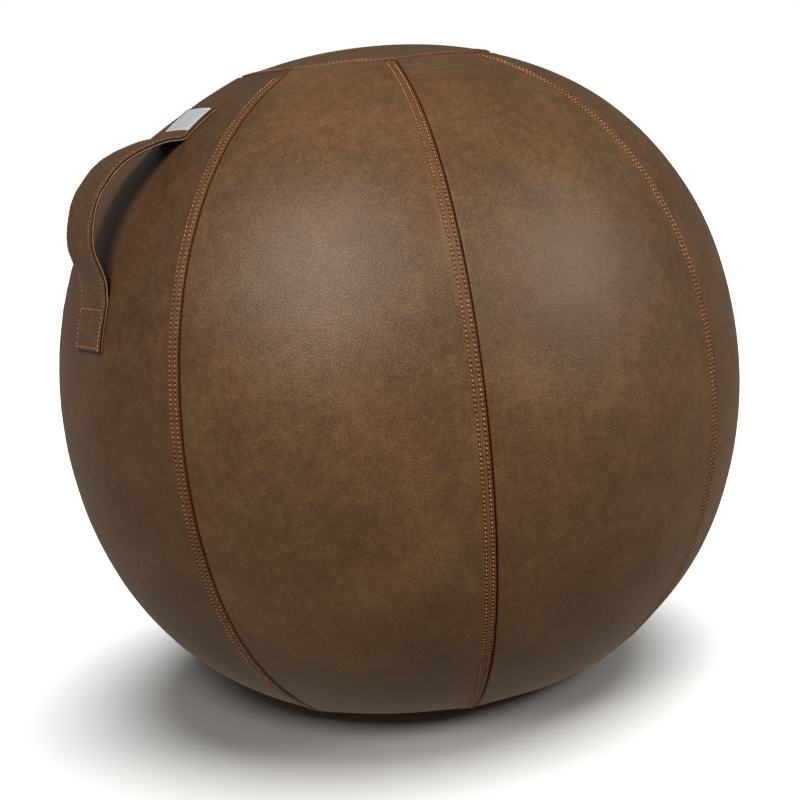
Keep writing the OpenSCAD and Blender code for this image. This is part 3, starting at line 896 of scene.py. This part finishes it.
def weave(name, dark, light, pitch=0.5 * MM, rough=0.8):
    """A plain weave that follows the object's own axes."""
    m = Nodes(name)
    waves_of = []
    for direction in ("X", "Y"):
        node = m.new("ShaderNodeTexWave", wave_type="BANDS", bands_direction=direction)
        node.inputs["Scale"].default_value = 0.314 / pitch
        node.inputs["Distortion"].default_value = 0.4
        m.link(m.place, node.inputs["Vector"])
        waves_of.append(node.outputs["Fac"])
    cloth = m.maths("MULTIPLY", *waves_of)
    cloud = m.noise(60, 3)
    m.color(m.ramp(m.maths("ADD", m.maths("MULTIPLY", cloth, 0.6), m.maths("MULTIPLY", cloud, 0.4)),
                   [(0.2, dark), (0.7, light)]))
    m.rough(rough)
    m.normal(m.bump(cloth, 0.5, 0.2 * MM))
    m.shader.inputs["Sheen Weight"].default_value = 0.2
    return m.material


def moulded(name, dark, light, rough=0.5, scale=120):
    """Rubber, vinyl, plastic or foam with a slightly uneven surface."""
    m = Nodes(name)
    m.color(m.ramp(m.noise(scale, 3), [(0.35, dark), (0.65, light)]))
    m.rough(m.spread(m.noise(scale * 2, 3), 0.3, 0.7, rough - 0.06, rough + 0.06))
    m.normal(m.bump(m.noise(scale * 8, 2), 0.2, 0.1 * MM))
    return m.material


def metal(name, dark, light):
    """Satin cast metal."""
    m = Nodes(name)
    m.color(m.ramp(m.noise(300, 4), [(0.3, dark), (0.7, light)]))
    m.shader.inputs["Metallic"].default_value = 1.0
    m.rough(m.spread(m.noise(700, 3), 0.3, 0.7, 0.28, 0.42))
    m.normal(m.bump(m.noise(1500, 3), 0.15, 0.05 * MM))
    return m.material


BROWN = (srgb(82, 56, 33), srgb(97, 69, 41), srgb(113, 83, 51))
# The panel that carries the handle is drawn in a darker brown.
HANDLE_PANEL = 5
DARKER_PANEL_BROWN = (srgb(76, 51, 30), srgb(89, 62, 38), srgb(103, 74, 47))
STRAP_BROWN = (srgb(78, 55, 35), srgb(90, 64, 41), srgb(106, 78, 52))


def paint(obj, *materials):
    """Gives a piece its materials, in the order of its face indexes."""
    obj.data.materials.clear()
    for material in materials:
        obj.data.materials.append(material)
    return obj


def place(obj, body, slot, *nodes):
    """Fixes a piece to its body, and hides the CAD nodes that it replaces. The slot argument is not
    used.
    """
    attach(obj, body)
    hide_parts(*nodes)


# ---- build ----

thread = thread_material("thread", srgb(142, 94, 58), srgb(204, 152, 106))
strap_thread = thread_material("strap_thread", srgb(120, 77, 46), srgb(168, 114, 72))
for k in range(1, PANELS + 1):
    shades = DARKER_PANEL_BROWN if k == HANDLE_PANEL else BROWN
    panel = paint(side_panel(k), leather(f"leather_{k}", k, *shades))
    place(panel, "ball", "cover_leather", f"side_panel_{k}")
place(paint(top_panel(), leather("leather_top", 20, *BROWN)), "ball", "cover_leather", "top_panel")
place(paint(base_panel(), leather("leather_base", 21, *BROWN)), "ball", "base_leather", "base_panel")
place(paint(side_stitches(), thread), "ball", "thread", "side_seam_thread")
place(paint(top_stitches(), thread), "ball", "thread", "top_seam_thread")

under_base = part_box("base_panel")[0].z - 0.1 * MM
ring_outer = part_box("ring_sleeve")[1].x
for name, radius, node in (("base_stitches", 178 * MM, "base_seam_thread"),
                           ("ring_stitches_inner", ring_outer - RING_W - 3 * MM, "ring_thread"),
                           ("ring_stitches_outer", ring_outer + 2.5 * MM, "ring_thread")):
    place(paint(ring_of_stitches(name, radius, under_base), thread), "ball", "thread", node)

sleeve_cloth = weave("sleeve_cloth", srgb(34, 27, 22), srgb(66, 53, 44), 0.9 * MM, 0.75)
place(paint(ring_sleeve(), sleeve_cloth), "ball", "ring_sleeve", "ring_sleeve")

nylon = moulded("zip_nylon", srgb(22, 18, 16), srgb(44, 37, 32), 0.4, 300)
place(paint(zip_coil("zip_coil_inner", -1), nylon), "ball", "zip_teeth", "zip_teeth_inner")
place(paint(zip_coil("zip_coil_outer", 1), nylon), "ball", "zip_teeth", "zip_teeth_outer")

strap_leather = leather("strap_leather", 31, *STRAP_BROWN, grain=1.1)
dark_edge = edge_paint()
# The lining's bare edge: paler than the strap's leather, and made lighter still as a painted
# highlight where the edge lies in shade.
raw_edge_and_highlight = leather("raw_edge_and_highlight", 33, srgb(112, 84, 60), srgb(136, 104, 77), srgb(158, 124, 94))


def paint_edges(obj, outer):
    """Paints the layer's side faces dark, but leaves the lining's edge bare at the joint, in a pale
    leather with a painted highlight.
    """
    paint(obj, strap_leather, dark_edge, raw_edge_and_highlight)
    columns = len(layer_section(True))
    flank = {columns - 5, columns - 1}
    round_part = {0, 1, 2, columns - 6, columns - 7, columns - 8}
    dark = flank | {0, columns - 6} if outer else round_part
    for face in obj.data.polygons[:len(obj.data.polygons) - 2]:
        if face.index % columns in dark:
            face.material_index = 1
        elif face.index % columns in flank:
            face.material_index = 2


SPANS = {"upper": (0, MIDDLE), "lower": (MIDDLE, len(PATH) - 1)}
LAYERS = (("outer", "handle_leather"), ("lining", "handle_lining"))


def flex(obj, part, slot, *nodes):
    """Bakes a strap piece's transform in place, and hides the CAD nodes that it replaces. The part
    and slot arguments are not used.
    """
    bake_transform(obj)
    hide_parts(*nodes)


for part, (first, last) in SPANS.items():
    for kind, slot in LAYERS:
        outer = kind == "outer"
        piece = strap_layer(f"strap_{kind}_{part}", outer, first, last)
        paint_edges(piece, outer)
        flex(piece, part, slot,
             *(["handle_strap", f"handle_end_{part}"] if outer else ["handle_lining"]))
    tab = seat_index(TAB_TOP)
    ends = (first, last) if part == "upper" else (first, tab)
    rows = [strap_row(*ends, s * ROW_AT, SUNK) for s in (-1, 1)]
    if part == "upper":
        rows.append(cross_row(END_TOP + 0.45, LAYER))
    piece = paint(joined(f"strap_stitches_{part}", rows, STRAP_THREAD_R), strap_thread)
    flex(piece, part, "thread", "handle_loop_thread", "handle_end_thread")
rows = [strap_row(tab, len(PATH) - 1, s * ROW_AT, SUNK) for s in (-1, 1)]
rows += [cross_row(TAB_TOP, LAYER), cross_row(END_BOTTOM - 0.5, LAYER)]
place(paint(joined("tab_stitches", rows, STRAP_THREAD_R), thread),
      "ball", "thread", "handle_end_thread")

label_piece, label_kinds = label()
paint(label_piece, weave("label_cloth", srgb(168, 178, 188), srgb(200, 208, 216), 0.45 * MM, 0.6),
      weave("label_border", srgb(214, 208, 214), srgb(236, 232, 238), 0.45 * MM, 0.6),
      weave("label_margin", srgb(58, 22, 32), srgb(92, 40, 52), 0.45 * MM, 0.6))
for face, kind in zip(label_piece.data.polygons, label_kinds):
    face.material_index = int(kind)
place(label_piece, "ball", "label_weave", "handle_label")

# CAD nodes that stay as they are, with their own materials.
vinyl = moulded("bladder_vinyl", srgb(132, 138, 144), srgb(158, 163, 168), 0.45, 40)
satin = metal("zip_zinc", (0.32, 0.30, 0.27), (0.52, 0.50, 0.46))
KEPT = {
    "bladder": vinyl,
    "valve_seat": moulded("valve_rubber", srgb(120, 125, 130), srgb(146, 150, 154), 0.5),
    "valve_plug": moulded("valve_white", srgb(214, 214, 210), srgb(238, 238, 234), 0.4),
    "ring_core": moulded("ring_foam", srgb(184, 178, 160), srgb(212, 206, 190), 0.9, 300),
    "zip_tape_inner": weave("zip_tape", srgb(30, 25, 22), srgb(58, 49, 43), 0.5 * MM),
    "zip_stop_closed": satin, "zip_stop_open": satin, "zip_slider": satin, "zip_pull": satin,
    "handle_patch_upper": weave("canvas", srgb(52, 45, 40), srgb(84, 74, 66), 0.7 * MM),
}
KEPT["zip_tape_outer"] = KEPT["zip_tape_inner"]
KEPT["handle_patch_lower"] = KEPT["handle_patch_upper"]
for node, material in KEPT.items():
    paint(frame["nodes"][node], material)


# ---- floor, light and camera ----

FLOOR_WHITE, FLOOR_GLOW = 0.28, 0.36
CAMERA_AZIMUTH, CAMERA_ELEVATION = 236.12, 10.96
CAMERA_ROLL = math.radians(5.9)
CAMERA_DISTANCE = 4.561 * BALL_R
# How far the camera is shifted down from the ball's centre, as a share of its distance.
CAMERA_DROP = 0.01517
SENSOR = 36
LENS = 1.888125 * SENSOR


def direction(azimuth, elevation):
    """Unit vector towards an azimuth and an elevation, both in degrees."""
    a, e = math.radians(azimuth), math.radians(elevation)
    return Vector((math.cos(a) * math.cos(e), math.sin(a) * math.cos(e), math.sin(e)))


def stage_floor():
    """The floor: overexposed to look at, and a soft warm light on the ball from below."""
    mesh = bpy.data.meshes.new("floor")
    size = 30
    z = -0.2 * MM
    mesh.from_pydata([(-size, -size, z), (size, -size, z), (size, size, z), (-size, size, z)],
                     [], [(0, 1, 2, 3)])
    floor = bpy.data.objects.new("floor", mesh)
    bpy.context.scene.collection.objects.link(floor)
    m = Nodes("floor")
    path = m.new("ShaderNodeLightPath")
    matt = m.new("ShaderNodeBsdfDiffuse")
    matt.inputs["Color"].default_value = (FLOOR_WHITE, FLOOR_WHITE, FLOOR_WHITE, 1)
    glow = m.new("ShaderNodeEmission")
    glow.inputs["Color"].default_value = (1.0, 0.88, 0.74, 1)
    glow.inputs["Strength"].default_value = FLOOR_GLOW
    both = m.new("ShaderNodeMixShader")
    m.link(path.outputs["Is Camera Ray"], both.inputs[0])
    m.link(glow.outputs[0], both.inputs[1])
    m.link(matt.outputs[0], both.inputs[2])
    # From underneath the floor is clear, so that the base can be seen.
    clear = m.new("ShaderNodeMixShader")
    m.link(m.new("ShaderNodeNewGeometry").outputs["Backfacing"], clear.inputs[0])
    m.link(both.outputs[0], clear.inputs[1])
    m.link(m.new("ShaderNodeBsdfTransparent").outputs[0], clear.inputs[2])
    m.link(clear.outputs[0], m.tree.nodes["Material Output"].inputs["Surface"])
    m.tree.nodes.remove(m.shader)
    floor.data.materials.append(m.material)
    return floor


def aimed(name, light, azimuth, elevation, distance):
    """Adds a light that faces the ball from a direction given as seen by the camera."""
    out = direction(CAMERA_AZIMUTH + azimuth, elevation)
    obj = bpy.data.objects.new(name, light)
    obj.location = Vector((0, 0, CENTRE_Z)) + out * distance
    obj.rotation_mode = "QUATERNION"
    obj.rotation_quaternion = out.to_track_quat("Z", "Y")
    bpy.context.scene.collection.objects.link(obj)
    return obj


def floor_light(floor, azimuth, elevation, spread, power):
    """An even light that reaches only the floor, so that the ball's shadow lies on white."""
    light = bpy.data.lights.new("floor_light", "SUN")
    light.angle = math.radians(spread)
    light.energy = power
    lit = bpy.data.collections.new("lit_floor")
    lit.objects.link(floor)
    aimed("floor_light", light, azimuth, elevation, 3).light_linking.receiver_collection = lit


def area_light(name, azimuth, elevation, distance, size, power, color=(1, 1, 1)):
    """A soft box."""
    light = bpy.data.lights.new(name, "AREA")
    light.shape = "RECTANGLE"
    light.size, light.size_y = size
    light.energy = power
    light.color = color
    aimed(name, light, azimuth, elevation, distance)


def camera():
    """Looks at the ball's centre from a little above, rolled, and moved down a little."""
    out = direction(CAMERA_AZIMUTH, CAMERA_ELEVATION)
    facing = out.to_track_quat("Z", "Y")
    turned = Quaternion(out, -CAMERA_ROLL) @ facing
    down = turned @ Vector((0, -1, 0))
    cam = bpy.data.cameras.new("camera")
    cam.sensor_width = SENSOR
    cam.lens = LENS
    obj = bpy.data.objects.new("camera", cam)
    obj.rotation_mode = "QUATERNION"
    obj.rotation_quaternion = turned
    obj.location = Vector((0, 0, CENTRE_Z)) + (out + down * CAMERA_DROP) * CAMERA_DISTANCE
    bpy.context.scene.collection.objects.link(obj)
    bpy.context.scene.camera = obj


def world():
    """White to look at, and a faint even light on the ball."""
    made = bpy.data.worlds.new("studio")
    made.use_nodes = True
    tree = made.node_tree
    back = tree.nodes["Background"]
    path = tree.nodes.new("ShaderNodeLightPath")
    mix = tree.nodes.new("ShaderNodeMix")
    mix.data_type = "FLOAT"
    mix.inputs[2].default_value = 0.16
    mix.inputs[3].default_value = 1.0
    tree.links.new(path.outputs["Is Camera Ray"], mix.inputs[0])
    tree.links.new(mix.outputs[0], back.inputs["Strength"])
    back.inputs["Color"].default_value = (1, 1, 1, 1)
    bpy.context.scene.world = made


SOFT_WHITE = (1, 0.95, 0.88)
floor_light(stage_floor(), 122, 76, 61, 16)
world()
camera()
area_light("key", -24, 40, 2.2, (0.85, 0.75), 40, SOFT_WHITE)
area_light("side", 59, 27, 2.2, (0.75, 0.8), 25, SOFT_WHITE)
area_light("sky", 0, 88, 2.6, (2.6, 2.6), 2)
bpy.context.scene.view_settings.view_transform = "Standard"
